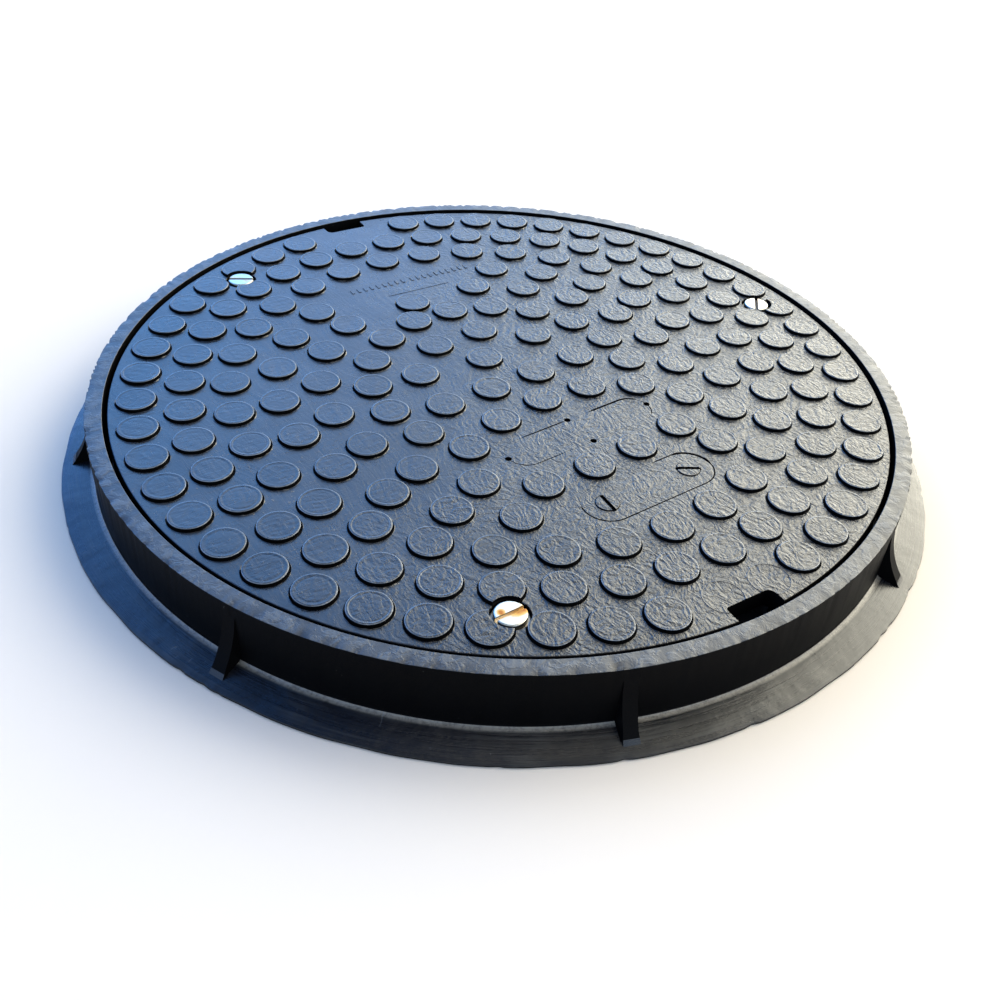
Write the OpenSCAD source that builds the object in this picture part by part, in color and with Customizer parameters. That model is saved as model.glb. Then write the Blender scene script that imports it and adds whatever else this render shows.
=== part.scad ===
// Round light-duty manhole cover: a studded lid in a flanged frame, held down by three lock screws.
// Millimetres. The origin is the centre of the frame's underside, and +Z is up.
// The two lifting pockets lie on the Y axis.

/* [Frame] */
// Height of the frame, from its underside to the top of its ring
frame_h = 55; // [50:1:70]
// Inside diameter of the ring that surrounds the lid
ring_bore_d = 626; // [600:1:660]
// Thickness of the ring
ring_t = 12.8; // [10:0.2:16]
// Diameter over the flange that is bedded in mortar
flange_d = 704; // [690:1:740]
// Height of the flange at its outer edge
flange_edge_h = 2.5; // [2:0.5:5]
// Height of the flange where it meets the ring
flange_root_h = 7.5; // [6:0.5:12]
// Diameter of the clear opening through the frame
clear_opening_d = 566; // [540:1:576]
// Height of the seat that carries the seal and the lid
seat_h = 14; // [12:1:18]
// Number of gussets round the ring
gusset_count = 8; // [4:1:12]
// Thickness of a gusset
gusset_t = 10; // [6:1:12]
// Direction of the first gusset, in degrees from +X
gusset_angle = 26.6; // [20:0.1:32]

/* [Lid] */
// Diameter of the lid
lid_d = 620; // [600:1:624]
// Height of the lid's flat field above the frame's underside
field_z = 53; // [46:1:54]
// Thickness of the lid's plate
plate_t = 12; // [8:1:16]
// Thickness of the skirt round the lid's edge
skirt_t = 14; // [10:1:18]
// Thickness of the ribs under the plate
rib_t = 8; // [5:1:12]
// Height of the ribs under the plate
rib_h = 16; // [8:1:18]
// Number of ribs that run out to the skirt; every second one starts at the hub
rib_count = 24; // [12:6:24]
// Diameter of a tread stud
stud_d = 29.6; // [24:0.2:32]
// Height of a tread stud above the field
stud_h = 3; // [2:0.5:5]

/* [Lifting pockets] */
// Width of a pocket along the lid's edge
pocket_w = 38; // [30:1:44]
// Depth of a pocket's floor below the field
pocket_depth = 26; // [20:1:30]

/* [Locks] */
// Distance of the lock screws from the lid's centre
lock_r = 275; // [270:1:276]
// Direction of the first lock screw, in degrees from +X
lock_angle = -1.2; // [-3:0.1:3]
// Nominal thread diameter of the lock screws
screw_d = 12; // [10:2:12]
// Diameter of a screw head
head_d = 22; // [18:1:23]
// Height of a screw head
head_h = 4.5; // [4:0.5:5]
// Depth of the screw heads below the tops of the studs
head_recess = 1.5; // [0:0.5:2]
// Thread length below the head
screw_len = 45; // [40:5:45]
// Width across the flats of the captive nuts
nut_af = 18; // [16:1:19]

/* [Hidden] */

$fn = 96;
embed = 1;
lock_count = 3;

polymer = [0.07, 0.08, 0.09];
rubber = [0.03, 0.03, 0.03];
zinc = [0.78, 0.79, 0.80];

// Frame
ring_r = ring_bore_d / 2;
ring_out_r = ring_r + ring_t;
flange_r = flange_d / 2;
opening_r = clear_opening_d / 2;
ring_edge_r = 1.2;
root_fillet = 2.5;
gusset_foot = 18;
gusset_top_z = frame_h - 8;
gusset_sag = 4;

// Seal
seal_t = 3;
seal_in_r = 298;
seal_out_r = 309;

// Lid
lid_r = lid_d / 2;
lid_edge_r = 1.5;
skirt_in_r = lid_r - skirt_t;
skirt_z = seat_h + seal_t;
plate_z = field_z - plate_t;
rib_z = plate_z - rib_h;
stud_top_z = field_z + stud_h;
stud_edge = 1;
hub_r = 34;
ring_rib_r = [112, 168, 232];

// Locks: the lug on the frame, the boss under the lid and the screw's own stack
lug_r = 20;
lug_reach_r = skirt_in_r - 4;
lug_h = 26;
boss_r = 17;
boss_gap = 0.5;
shank_hole_r = 7;
washer_r = 12.8;
washer_t = 2.5;
washer_hole_r = 6.5;
counterbore_r = 13.3;
counterbore_z = stud_top_z - head_recess - head_h - washer_t;
head_z = counterbore_z + washer_t;
head_edge = 0.8;
slot_w = 3;
slot_depth = 2.6;
slot_dir = [49.4, 154.7, 2.1];
shank_r = screw_d / 2;
tip_chamfer = 1.5;
thread_clearance = 0.05;
nut_t = 10.8;
nut_z = 7.2;
nut_corner_r = nut_af / sqrt(3);

// Lifting pockets: the notch in the edge, and the undercut that a hook catches
undercut_reach = 12;
undercut_lip = 2;
pocket_wall = 8;
pocket_floor_z = field_z - pocket_depth;

// Tread studs: ring radius, number of places round the ring, direction of the first place.
// The places that a pocket or a mark takes up are given by their index.
stud_rings = [
    [288.7, 48, 3.75, [11, 12, 35, 36]],
    [253.5, 40, 3.63, []],
    [218.5, 32, 0, []],
    [182.8, 24, 1.65, [5, 6, 7, 17, 18, 19]],
    [148.4, 20, -3, [5, 6, 15, 16]],
    [108.7, 18, 4.2, [12, 13, 14, 15]],
    [68.6, 9, -3.9, [7]],
    [26.6, 3, -24.1, []]
];
// Studs moved off their ring to clear a mark: radius and direction
odd_studs = [[135.5, 95.2], [137.4, 267], [137.4, 285], [48, 277.5]];

// Marks in the field: the grooved outlines of two round-ended mould inserts, one held by pins and
// one by slotted screws, and two rows of plain tick marks with a rule under them
groove_w = 1.2;
groove_depth = 0.8;
pinned_len = 139;
pinned_w = 33;
pinned_at = [10.1, -94.7];
pinned_turn = 4.3;
pin_r = 2;
pin_depth = 2;
screwed_len = 118;
screwed_w = 40;
screwed_at = [14.9, -173.8];
screwed_turn = 3;
imprint_r = 8.7;
imprint_h = 0.8;
imprint_slot_w = 3;
imprint_slot_depth = 2;
imprint_x = [-38.8, 38.8];
imprint_turn = [84, -31];
tick_w = 2.5;
tick_len = 7;
tick_h = 0.6;
tick_pitch = 6.4;
tick_y = 177;
tick_count = [9, 10];
tick_x = [-52.7, 7.8];
rule_w = 1.6;
rule_len = 62;
rule_at = [5.9, 157];

// Point at radius r in direction a
function polar(r, a) = [r * cos(a), r * sin(a)];

// Direction of lock number i, counted from 0
function lock_dir(i) = lock_angle + i * 360 / lock_count;

// Points of a quarter circle of radius r about c, from direction a
function quarter(c, r, a, n = 6) = [for (i = [0 : n]) c + polar(r, a + 90 * i / n)];

// Radius of an arc from its chord and its sagitta
function arc_radius(chord, sag) = chord * chord / (8 * sag) + sag / 2;

module at_lock(i) {
    rotate([0, 0, lock_dir(i)])
        translate([lock_r, 0, 0])
            children();
}

// Round-ended plan shape, centred, along X
module slot_plan(len, w) {
    square([len - w, w], center = true);
    for (side = [-1, 1])
        translate([side * (len - w) / 2, 0])
            circle(d = w);
}

// Half section of the frame, from the seat out to the flange
module frame_section() {
    polygon(concat(
        [[opening_r, 0], [flange_r, 0], [flange_r, flange_edge_h]],
        [[ring_out_r + root_fillet, flange_root_h], [ring_out_r, flange_root_h + root_fillet]],
        quarter([ring_out_r - ring_edge_r, frame_h - ring_edge_r], ring_edge_r, 0),
        quarter([ring_r + ring_edge_r, frame_h - ring_edge_r], ring_edge_r, 90),
        [[ring_r, seat_h], [opening_r, seat_h]]
    ));
}

// Fin between the ring and the flange, with a hollow outer edge
module gusset() {
    drop = gusset_top_z - flange_edge_h;
    edge_r = arc_radius(norm([gusset_foot, drop]), gusset_sag);
    mid = [ring_out_r + gusset_foot / 2, (gusset_top_z + flange_edge_h) / 2];
    out = [drop, gusset_foot] / norm([drop, gusset_foot]);
    rotate([90, 0, 0])
        linear_extrude(gusset_t, center = true)
            difference() {
                polygon([
                    [ring_out_r - embed, flange_edge_h / 2],
                    [ring_out_r + gusset_foot, flange_edge_h / 2],
                    [ring_out_r + gusset_foot, flange_edge_h],
                    [ring_out_r, gusset_top_z],
                    [ring_out_r - embed, gusset_top_z]
                ]);
                translate(mid + out * (edge_r - gusset_sag))
                    circle(r = edge_r, $fn = 360);
            }
}

// Lug that holds a captive nut under the lid
module lock_lug(i) {
    intersection() {
        at_lock(i)
            cylinder(r = lug_r, h = lug_h);
        cylinder(r = lug_reach_r, h = lug_h);
    }
}

module frame() {
    color(polymer)
        difference() {
            union() {
                rotate_extrude($fn = 360)
                    frame_section();
                for (i = [0 : gusset_count - 1])
                    rotate([0, 0, gusset_angle + i * 360 / gusset_count])
                        gusset();
                for (i = [0 : lock_count - 1])
                    lock_lug(i);
            }
            for (i = [0 : lock_count - 1])
                at_lock(i) {
                    translate([0, 0, -embed])
                        cylinder(r = shank_hole_r, h = lug_h + 2 * embed);
                    translate([0, 0, -embed])
                        cylinder(r = nut_corner_r, h = nut_z + nut_t + embed, $fn = 6);
                }
        }
}

module seal_ring() {
    color(rubber)
        translate([0, 0, seat_h])
            difference() {
                cylinder(r = seal_out_r, h = seal_t);
                translate([0, 0, -embed])
                    cylinder(r = seal_in_r, h = seal_t + 2 * embed);
            }
}

// Half section of the lid's plate and skirt
module lid_section() {
    polygon(concat(
        [[0, plate_z], [skirt_in_r, plate_z], [skirt_in_r, skirt_z], [lid_r, skirt_z]],
        quarter([lid_r - lid_edge_r, field_z - lid_edge_r], lid_edge_r, 0),
        [[0, field_z]]
    ));
}

module lid_ribs() {
    for (i = [0 : rib_count - 1]) {
        start_r = i % 2 == 0 ? hub_r - embed : ring_rib_r[0] - embed;
        rotate([0, 0, (i + 0.5) * 360 / rib_count])
            translate([start_r, -rib_t / 2, rib_z])
                cube([skirt_in_r + embed - start_r, rib_t, rib_h + embed]);
    }
    for (r = concat([hub_r], ring_rib_r))
        translate([0, 0, rib_z])
            difference() {
                cylinder(r = r, h = rib_h + embed);
                translate([0, 0, -embed])
                    cylinder(r = r - rib_t, h = rib_h + 3 * embed);
            }
}

module stud() {
    translate([0, 0, field_z - embed])
        cylinder(d = stud_d, h = stud_h - stud_edge + embed);
    translate([0, 0, stud_top_z - stud_edge])
        cylinder(r1 = stud_d / 2, r2 = stud_d / 2 - stud_edge, h = stud_edge);
}

module tread_studs() {
    for (ring = stud_rings)
        for (i = [0 : ring[1] - 1])
            if (len([for (gap = ring[3]) if (gap == i) gap]) == 0)
                translate(polar(ring[0], ring[2] + i * 360 / ring[1]))
                    stud();
    for (place = odd_studs)
        translate(polar(place[0], place[1]))
            stud();
}

// Walls of a lifting pocket under the plate
module pocket_block() {
    block_z = pocket_floor_z - pocket_wall / 2;
    translate([-pocket_w / 2 - pocket_wall, skirt_in_r - undercut_reach - pocket_wall, block_z])
        cube([
            pocket_w + 2 * pocket_wall,
            undercut_reach + pocket_wall + embed,
            plate_z - block_z + embed
        ]);
}

// Space inside a lifting pocket: the notch, open at the lid's edge, and the undercut behind it
module pocket_space() {
    translate([-pocket_w / 2, skirt_in_r, pocket_floor_z])
        cube([pocket_w, skirt_t + embed, stud_top_z + embed - pocket_floor_z]);
    translate([-pocket_w / 2, skirt_in_r - undercut_reach, pocket_floor_z])
        cube([pocket_w, undercut_reach + embed, plate_z - undercut_lip - pocket_floor_z]);
}

// Grooved outline of a round-ended insert
module insert_outline(len, w) {
    translate([0, 0, field_z - groove_depth])
        linear_extrude(groove_depth + embed)
            difference() {
                slot_plan(len, w);
                slot_plan(len - 2 * groove_w, w - 2 * groove_w);
            }
}

// Places its children at each imprint of a slotted screw head, with the slot along X
module at_imprints() {
    translate(screwed_at)
        rotate([0, 0, screwed_turn])
            for (i = [0 : len(imprint_x) - 1])
                translate([imprint_x[i], 0])
                    rotate([0, 0, imprint_turn[i]])
                        children();
}

// Low disc that a screw head left in the field
module imprint_disc() {
    translate([0, 0, field_z - embed])
        cylinder(r = imprint_r, h = imprint_h + embed);
}

// Slot across that disc
module imprint_slot() {
    slot_z = field_z + imprint_h - imprint_slot_depth;
    translate([-imprint_r - embed, -imprint_slot_w / 2, slot_z])
        cube([2 * (imprint_r + embed), imprint_slot_w, imprint_slot_depth + embed]);
}

// Outline of the pinned insert, with the hole that a pin left at each end and on each side
module pinned_insert() {
    insert_outline(pinned_len, pinned_w);
    end_x = (pinned_len - groove_w) / 2;
    side_y = (pinned_w - groove_w) / 2;
    for (place = [[end_x, 0], [-end_x, 0], [0, side_y], [0, -side_y]])
        translate([place[0], place[1], field_z - pin_depth])
            cylinder(r = pin_r, h = pin_depth + embed);
}

module tick_marks() {
    for (row = [0 : len(tick_x) - 1])
        for (i = [0 : tick_count[row] - 1])
            translate([tick_x[row] + i * tick_pitch, tick_y - tick_len / 2, field_z - embed])
                cube([tick_w, tick_len, tick_h + embed]);
    translate([rule_at[0] - rule_len / 2, rule_at[1] - rule_w / 2, field_z - embed])
        cube([rule_len, rule_w, tick_h + embed]);
}

module lid() {
    color(polymer)
        difference() {
            union() {
                rotate_extrude($fn = 360)
                    lid_section();
                lid_ribs();
                for (turn = [0, 180])
                    rotate([0, 0, turn])
                        pocket_block();
                for (i = [0 : lock_count - 1])
                    at_lock(i)
                        translate([0, 0, lug_h + boss_gap])
                            cylinder(r = boss_r, h = plate_z - lug_h - boss_gap + embed);
                tread_studs();
                tick_marks();
                at_imprints()
                    imprint_disc();
            }
            for (turn = [0, 180])
                rotate([0, 0, turn])
                    pocket_space();
            for (i = [0 : lock_count - 1])
                at_lock(i) {
                    translate([0, 0, counterbore_z])
                        cylinder(r = counterbore_r, h = stud_top_z - counterbore_z + embed);
                    translate([0, 0, lug_h])
                        cylinder(r = shank_hole_r, h = field_z - lug_h);
                }
            translate(pinned_at)
                rotate([0, 0, pinned_turn])
                    pinned_insert();
            translate(screwed_at)
                rotate([0, 0, screwed_turn])
                    insert_outline(screwed_len, screwed_w);
            at_imprints()
                imprint_slot();
        }
}

module lock_screw(i) {
    color(zinc)
        at_lock(i) {
            difference() {
                union() {
                    translate([0, 0, head_z])
                        cylinder(d = head_d, h = head_h - head_edge);
                    translate([0, 0, head_z + head_h - head_edge])
                        cylinder(r1 = head_d / 2, r2 = head_d / 2 - head_edge, h = head_edge);
                }
                rotate([0, 0, slot_dir[i] - lock_dir(i)])
                    translate([-head_d, -slot_w / 2, head_z + head_h - slot_depth])
                        cube([2 * head_d, slot_w, slot_depth + embed]);
            }
            translate([0, 0, head_z - screw_len + tip_chamfer])
                cylinder(r = shank_r, h = screw_len - tip_chamfer + embed);
            translate([0, 0, head_z - screw_len])
                cylinder(r1 = shank_r - tip_chamfer, r2 = shank_r, h = tip_chamfer);
        }
}

module lock_washer(i) {
    color(zinc)
        at_lock(i)
            translate([0, 0, counterbore_z])
                difference() {
                    cylinder(r = washer_r, h = washer_t);
                    translate([0, 0, -embed])
                        cylinder(r = washer_hole_r, h = washer_t + 2 * embed);
                }
}

module lock_nut(i) {
    color(zinc)
        at_lock(i)
            translate([0, 0, nut_z])
                difference() {
                    cylinder(r = nut_corner_r, h = nut_t, $fn = 6);
                    translate([0, 0, -embed])
                        cylinder(r = shank_r + thread_clearance, h = nut_t + 2 * embed);
                }
}

frame();
seal_ring();
lid();
lock_screw(0);  // lock_screw_1
lock_screw(1);  // lock_screw_2
lock_screw(2);  // lock_screw_3
lock_washer(0);  // lock_washer_1
lock_washer(1);  // lock_washer_2
lock_washer(2);  // lock_washer_3
lock_nut(0);  // lock_nut_1
lock_nut(1);  // lock_nut_2
lock_nut(2);  // lock_nut_3
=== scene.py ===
"""Studded polymer manhole cover: meshes, materials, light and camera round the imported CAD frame."""
import math
import random

import bpy
from mathutils import Matrix, Vector


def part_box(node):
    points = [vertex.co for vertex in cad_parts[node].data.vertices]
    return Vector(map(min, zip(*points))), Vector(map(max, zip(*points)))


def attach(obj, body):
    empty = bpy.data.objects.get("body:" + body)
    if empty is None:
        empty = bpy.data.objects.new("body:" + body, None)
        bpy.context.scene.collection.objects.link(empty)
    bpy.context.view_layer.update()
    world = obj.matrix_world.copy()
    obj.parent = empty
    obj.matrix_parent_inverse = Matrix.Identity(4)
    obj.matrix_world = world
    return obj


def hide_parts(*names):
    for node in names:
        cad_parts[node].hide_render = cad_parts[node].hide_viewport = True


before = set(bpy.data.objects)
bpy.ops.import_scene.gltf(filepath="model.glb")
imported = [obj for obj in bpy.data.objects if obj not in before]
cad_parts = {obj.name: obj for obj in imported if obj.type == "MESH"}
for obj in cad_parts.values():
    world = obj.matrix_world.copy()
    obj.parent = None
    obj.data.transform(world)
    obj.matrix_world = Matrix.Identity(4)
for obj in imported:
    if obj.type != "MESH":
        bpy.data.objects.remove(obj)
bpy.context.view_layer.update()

MM = 0.001

# Degrees about Z from the object's +Y to the direction in which the camera looks
VIEW_TURN = -31.9

# Edges that turn by more than this many degrees stay sharp
SHARP_ANGLE = 35.0

# Sizes below are millimetres, taken from the CAD nodes' boxes or repeated from the part's own dimensions.


def node_top(node):
    """Height of a CAD node's highest point, in millimetres."""
    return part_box(node)[1].z / MM


def node_bottom(node):
    """Height of a CAD node's lowest point, in millimetres."""
    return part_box(node)[0].z / MM


def node_radius(node):
    """Outer radius of a round CAD node that is centred on the Z axis, in millimetres."""
    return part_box(node)[1].x / MM


# Frame. A gusset's foot is its length along the flange, and its turn is the first one's direction
RING_IN = 313.0
RING_OUT = 325.8
RING_TOP = node_top("frame")
FLANGE = node_radius("frame")
FLANGE_EDGE_H = 2.5
FLANGE_ROOT_H = 7.5
OPENING = 283.0
SEAT_Z = node_bottom("seal_ring")
GUSSETS = 8
GUSSET_TURN = 26.6
GUSSET_T = 10.0
GUSSET_FOOT = 18.0
GUSSET_TOP = RING_TOP - 8.0
GUSSET_BOTTOM = 2.0
GUSSET_FOOT_H = 1.2

# Lid. The field is the plate's upper face between the studs
LID = node_radius("lid")
SKIRT_Z = node_bottom("lid")
STUD_TOP = node_top("lid")
STUD_H = 3.0
FIELD = STUD_TOP - STUD_H
PLATE_Z = FIELD - 12.0
SKIRT_IN = LID - 14.0
RIB_Z = PLATE_Z - 16.0
RIB_T = 8.0
RIBS = 24
RIB_RINGS = (34.0, 112.0, 168.0, 232.0)
STUD_R = 14.8
STUD_MOAT = 1.6
STUD_BASE = 2.0
POCKET_W = 38.0
POCKET_FLOOR = FIELD - 26.0
UNDERCUT = 12.0

# Locks. A boss under the lid and a lug on the frame face each other round each screw
LOCKS = 3
LOCK_R = 275.0
LOCK_TURN = -1.2
LUG_R = 20.0
LUG_REACH = SKIRT_IN - 4.0
LUG_H = 26.0
BOSS_R = 17.0
BOSS_Z = LUG_H + 0.5
SHANK_HOLE = 7.0
COUNTERBORE = 13.3
WASHER_Z = node_bottom("lock_washer_1")
HEAD_Z = node_top("lock_washer_1")
HEAD_TOP = node_top("lock_screw_1")
TIP_Z = node_bottom("lock_screw_1")
NUT_Z = node_bottom("lock_nut_1")
NUT_TOP = node_top("lock_nut_1")
NUT_AF = 18.0
NUT_R = NUT_AF / math.sqrt(3)
HEAD_R = 11.0
SLOT_W = 3.0
SLOT_DEPTH = 2.6
THREAD_R = 6.0
TIP_R = 4.4
THREAD_PITCH = 1.75
THREAD_DEPTH = 0.95

# For each screw in turn: direction of its slot, and how rusty its head is, from 0 to 1
SLOT_TURNS = (49.4, 154.7, 2.1)
RUST_LEVELS = (0.15, 0.2, 0.95)

# Tread. Each ring: radius, number of places, direction of the first place, places left out
STUD_RINGS = (
    (288.7, 48, 3.75, (11, 12, 35, 36)),
    (253.5, 40, 3.63, ()),
    (218.5, 32, 0.0, ()),
    (182.8, 24, 1.65, (5, 6, 7, 17, 18, 19)),
    (148.4, 20, -3.0, (5, 6, 15, 16)),
    (108.7, 18, 4.2, (12, 13, 14, 15)),
    (68.6, 9, -3.9, (7,)),
    (26.6, 3, -24.1, ()),
)
# Studs out of the rings: radius and direction
ODD_STUDS = ((135.5, 95.2), (137.4, 267.0), (137.4, 285.0), (48.0, 277.5))
# Rings left in the field beside the front pocket, as wide as a stud
GHOSTS = ((24.4, -289.3), (-13.8, -287.6))

# Two round-ended marks of mould inserts. Where each one's joint stands open: x0, x1, y0, y1, half width there
PINNED = {
    "at": (10.1, -94.7), "turn": 4.3, "length": 139.0, "width": 33.0,
    "grooves": (
        (-46, -2, 8, 17, 0.6),
        (26, 66, 6, 17, 0.95),
        (60, 70, -12, 6, 0.4),
        (-70, -30, -17, 0, 0.4),
    ),
}
SCREWED = {
    "at": (14.9, -173.8), "turn": 3.0, "length": 118.0, "width": 40.0,
    "grooves": (
        (-25, 45, -20, -12, 0.5),
        (40, 60, 0, 20, 1.2),
        (40, 60, -20, 0, 0.55),
        (20, 40, 12, 20, 0.6),
        (-60, -25, -20, 6, 0.6),
    ),
}
GROOVE_INSET = 0.6
GROOVE_THIN = 0.1
GROOVE_DEEP = 1.8

# Slotted discs in the second mark: place along it and direction of the slot
IMPRINTS = ((-38.8, 84.0), (38.8, -31.0))
IMPRINT_R = 8.7
IMPRINT_H = 0.8
IMPRINT_SLOT_W = 3.0

# Plain marks where the real lid has moulded wording: groups of ticks (first place, number), and a rule
TICKS = ((-52.7, 9), (7.8, 10))
TICK_PITCH = 6.4
TICK_SIZE = (2.5, 7.0, 0.45)
TICK_Y = 177.0
RULE_AT = (5.9, 157.0)
RULE_SIZE = (62.0, 1.6, 0.25)
MARK_DRAFT = 0.4

# Dark grey, light grey and gloss of the upright sides and channels, painted near black as shade since
# daylight hardly reaches them, and of the undersides
SHADED_SIDE = (0.0008, 0.002, 0.045)
UNDERSIDE = (0.012, 0.024, 0.35)

# Places of the finishes in a piece's list
TOP, SIDE, UNDER, FLANGE_TOP = range(4)

# Linear colours. A pair is the darkest and the lightest of a mottled surface
LID_SKIN = ((0.004, 0.005, 0.008), (0.012, 0.013, 0.016))
RING_SKIN = ((0.006, 0.007, 0.010), (0.020, 0.022, 0.026))
FLANGE_SKIN = ((0.001, 0.0015, 0.003), (0.004, 0.005, 0.008))
SCRATCHED = (0.10, 0.11, 0.12)
SCUFFED = (0.12, 0.13, 0.14)
FLANGE_SCRATCH = (0.14, 0.14, 0.13)
# The colour below lightens the studs' rims, partly as wear and partly as a painted highlight
RIM_WEAR_AND_HIGHLIGHT = (0.23, 0.26, 0.30)
DUST = (0.24, 0.22, 0.19)
FLANGE_DUST = (0.07, 0.07, 0.065)
# The colour below is a painted highlight along the fillet at the foot of the frame's wall
FILLET_HIGHLIGHT = (0.20, 0.18, 0.15)
RUBBER = ((0.012, 0.012, 0.012), (0.06, 0.06, 0.058))
DULL_ZINC = ((0.10, 0.095, 0.085), (0.22, 0.21, 0.19))
BRIGHT_ZINC = ((0.40, 0.38, 0.33), (0.54, 0.52, 0.46))
ZINC_STAIN = (0.16, 0.08, 0.03)
RUST_YELLOW = (0.58, 0.32, 0.07)
RUST_BROWN = (0.32, 0.10, 0.02)
CLEAN_SLOT = (0.08, 0.09, 0.10)
RUSTY_SLOT = ((0.80, 0.62, 0.38), (0.55, 0.30, 0.08))
SLOT_LIP = (0.05, 0.035, 0.025)
FLOOR = ((0.58, 0.52, 0.46), (0.62, 0.56, 0.49))


# ---------------------------------------------------------------- mesh helpers

def polar(r, degrees):
    """Point at radius r in that direction."""
    a = math.radians(degrees)
    return r * math.cos(a), r * math.sin(a)


def arc(cx, cy, r, start, end, steps):
    """Points on an arc about (cx, cy), from start to end degrees."""
    turns = [start + (end - start) * i / steps for i in range(steps + 1)]
    return [(cx + polar(r, t)[0], cy + polar(r, t)[1]) for t in turns]


def make_mesh(name, points, faces):
    """Mesh from points in millimetres."""
    mesh = bpy.data.meshes.new(name)
    mesh.from_pydata([(x * MM, y * MM, z * MM) for x, y, z in points], [], faces)
    mesh.update()
    return mesh


def revolve(name, section, segments, closed=False):
    """Solid of revolution about Z. An open section starts and ends on the axis; a closed one is a ring's."""
    points = []
    rows = []
    for r, z in section:
        if r < 1e-6:
            rows.append([len(points)] * segments)
            points.append((0.0, 0.0, z))
            continue
        rows.append(list(range(len(points), len(points) + segments)))
        for i in range(segments):
            x, y = polar(r, 360.0 * i / segments)
            points.append((x, y, z))
    pairs = list(zip(rows, rows[1:]))
    if closed:
        pairs.append((rows[-1], rows[0]))
    faces = []
    for low, high in pairs:
        for i in range(segments):
            j = (i + 1) % segments
            corners = [low[i], low[j], high[j], high[i]]
            unique = [c for k, c in enumerate(corners) if c != corners[k - 1]]
            if len(unique) > 2:
                faces.append(unique)
    return make_mesh(name, points, faces)


def prism(name, outline, z0, z1, inset=0.0):
    """Upright prism on an anticlockwise outline. Its top can be scaled in about the outline's middle."""
    n = len(outline)
    cx = sum(p[0] for p in outline) / n
    cy = sum(p[1] for p in outline) / n
    size = max(max(abs(p[0] - cx), abs(p[1] - cy)) for p in outline)
    k = 1.0 - inset / size
    low = [(x, y, z0) for x, y in outline]
    high = [(cx + (x - cx) * k, cy + (y - cy) * k, z1) for x, y in outline]
    faces = [list(reversed(range(n))), list(range(n, 2 * n))]
    faces += [[i, (i + 1) % n, n + (i + 1) % n, n + i] for i in range(n)]
    return make_mesh(name, low + high, faces)


def rectangle(x0, y0, x1, y1):
    """Anticlockwise corners of a rectangle."""
    return [(x0, y0), (x1, y0), (x1, y1), (x0, y1)]


def lock_places():
    """Direction and plan point of each lock, the point with a height of 0."""
    turns = [LOCK_TURN + 360 * i / LOCKS for i in range(LOCKS)]
    return [(turn, (*polar(LOCK_R, turn), 0)) for turn in turns]


def stadium(length, width, steps=16):
    """Round-ended outline along X, centred."""
    end = (length - width) / 2
    near = [(-end + 2 * end * i / steps, -width / 2) for i in range(1, steps)]
    far = [(-x, -y) for x, y in near]
    return near + arc(end, 0, width / 2, -90, 90, steps) + far + arc(-end, 0, width / 2, 90, 270, steps)


def tube(name, path, radii, deep, sides=8):
    """Closed tube along a closed plan path at height 0. It is deep times as high as wide at each point."""
    n = len(path)
    points = []
    for i, (x, y) in enumerate(path):
        ax, ay = path[i - 1]
        bx, by = path[(i + 1) % n]
        out = Vector((by - ay, ax - bx)).normalized()
        for k in range(sides):
            u, w = polar(radii[i], 360.0 * k / sides)
            points.append((x + out.x * u, y + out.y * u, w * deep))
    faces = []
    for i in range(n):
        for k in range(sides):
            a, b = i * sides, ((i + 1) % n) * sides
            m = (k + 1) % sides
            faces.append([a + k, b + k, b + m, a + m])
    return make_mesh(name, points, faces)


def placed(mesh, turn=0.0, at=(0.0, 0.0, 0.0)):
    """Moves a mesh's points: first a turn about Z in degrees, then a shift in millimetres."""
    shift = Matrix.Translation(Vector(at) * MM)
    mesh.transform(shift @ Matrix.Rotation(math.radians(turn), 4, "Z"))
    return mesh


def joined(name, meshes):
    """One mesh of several."""
    points = []
    faces = []
    for mesh in meshes:
        start = len(points)
        points += [tuple(v.co) for v in mesh.vertices]
        faces += [[start + i for i in p.vertices] for p in mesh.polygons]
        bpy.data.meshes.remove(mesh)
    whole = bpy.data.meshes.new(name)
    whole.from_pydata(points, [], faces)
    whole.update()
    return whole


def boolean(mesh, other, operation):
    """Union, difference or intersection of two closed meshes. Both are used up."""
    body = bpy.data.objects.new("body", mesh)
    tool = bpy.data.objects.new("tool", other)
    for obj in (body, tool):
        bpy.context.scene.collection.objects.link(obj)
    step = body.modifiers.new("step", "BOOLEAN")
    step.solver = "MANIFOLD"
    step.operation = operation
    step.object = tool
    graph = bpy.context.evaluated_depsgraph_get()
    result = bpy.data.meshes.new_from_object(body.evaluated_get(graph))
    for obj in (body, tool):
        data = obj.data
        bpy.data.objects.remove(obj)
        bpy.data.meshes.remove(data)
    return result


def add_piece(name, mesh, body, node, finishes, at=(0.0, 0.0, 0.0)):
    """A finished piece: smooth shading, weighted normals, a body and the CAD node it stands for."""
    mesh.name = name
    mesh.shade_smooth()
    mesh.set_sharp_from_angle(angle=math.radians(SHARP_ANGLE))
    piece = bpy.data.objects.new(name, mesh)
    piece.location = Vector(at) * MM
    bpy.context.scene.collection.objects.link(piece)
    mesh.materials.clear()
    for finish in finishes:
        mesh.materials.append(finish)
    weighted = piece.modifiers.new("weighted_normals", "WEIGHTED_NORMAL")
    weighted.keep_sharp = True
    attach(piece, body)
    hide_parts(node)
    return piece


# ---------------------------------------------------------------- material helpers

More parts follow.
